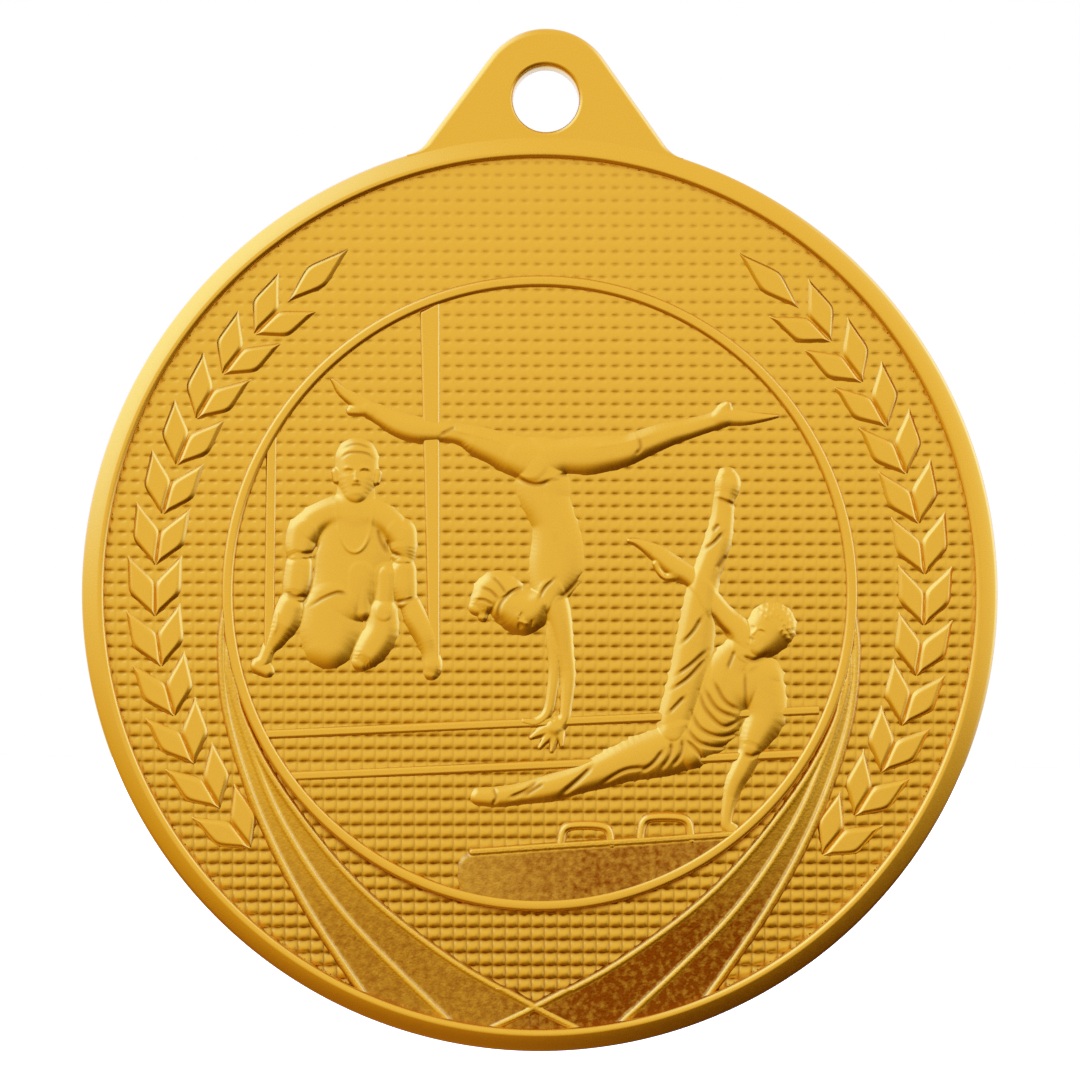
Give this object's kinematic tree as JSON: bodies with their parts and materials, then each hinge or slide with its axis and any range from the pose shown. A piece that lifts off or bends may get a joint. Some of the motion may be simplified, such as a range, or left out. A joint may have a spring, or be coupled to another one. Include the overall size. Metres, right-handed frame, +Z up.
{
  "type": "sports medal",
  "caption": "Round cast gold-tone gymnastics medal with a raised rim, laurel branches, relief gymnasts inside a ring and a pierced hanging tab.",
  "frame": {"origin": "centre of the hanging hole, half way through the tab's thickness", "axes": "+Z up, from the disc's centre through the hanging hole; -Y out of the decorated front; +Y out of the plain back; +X to the viewer's right when the front is seen"},
  "size_m": [0.05, 0.003, 0.0558],
  "materials": {
    "gold_field": "matte gold plate over a fine pattern of small square pads",
    "gold_smooth": "satin gold plate, softly rounded and slightly burnished on the edges",
    "gold_grained": "fine sandblasted gold plate, darker in the grain"
  },
  "bodies": {
    "root": {"blank_disc": "gold_field", "rim": "gold_smooth", "hanging_tab": "gold_smooth", "inner_ring": "gold_smooth", "strap_left": "gold_smooth", "strap_right": "gold_smooth", "beam_upper_edge": "gold_smooth", "beam_lower_edge": "gold_smooth", "pommel_left": "gold_smooth", "pommel_right": "gold_smooth", "gymnast_on_rings": "gold_smooth", "gymnast_on_beam": "gold_smooth", "gymnast_on_horse": "gold_smooth", "laurel_left_tip": "gold_smooth", "laurel_left_pair_01": "gold_smooth", "laurel_left_pair_02": "gold_smooth", "laurel_left_pair_03": "gold_smooth", "laurel_left_pair_04": "gold_smooth", "laurel_left_pair_05": "gold_smooth", "laurel_left_pair_06": "gold_smooth", "laurel_left_pair_07": "gold_smooth", "laurel_left_pair_08": "gold_smooth", "laurel_left_pair_09": "gold_smooth", "laurel_left_pair_10": "gold_smooth", "laurel_left_pair_11": "gold_smooth", "laurel_left_pair_12": "gold_smooth", "laurel_right_tip": "gold_smooth", "laurel_right_pair_01": "gold_smooth", "laurel_right_pair_02": "gold_smooth", "laurel_right_pair_03": "gold_smooth", "laurel_right_pair_04": "gold_smooth", "laurel_right_pair_05": "gold_smooth", "laurel_right_pair_06": "gold_smooth", "laurel_right_pair_07": "gold_smooth", "laurel_right_pair_08": "gold_smooth", "laurel_right_pair_09": "gold_smooth", "laurel_right_pair_10": "gold_smooth", "laurel_right_pair_11": "gold_smooth", "laurel_right_pair_12": "gold_smooth", "pommel_horse": "gold_grained", "sash_left_outer": "gold_grained", "sash_left_inner": "gold_grained", "sash_right_outer": "gold_grained", "sash_right_inner": "gold_grained", "sash_crossing": "gold_grained"}
  },
  "joints": []
}
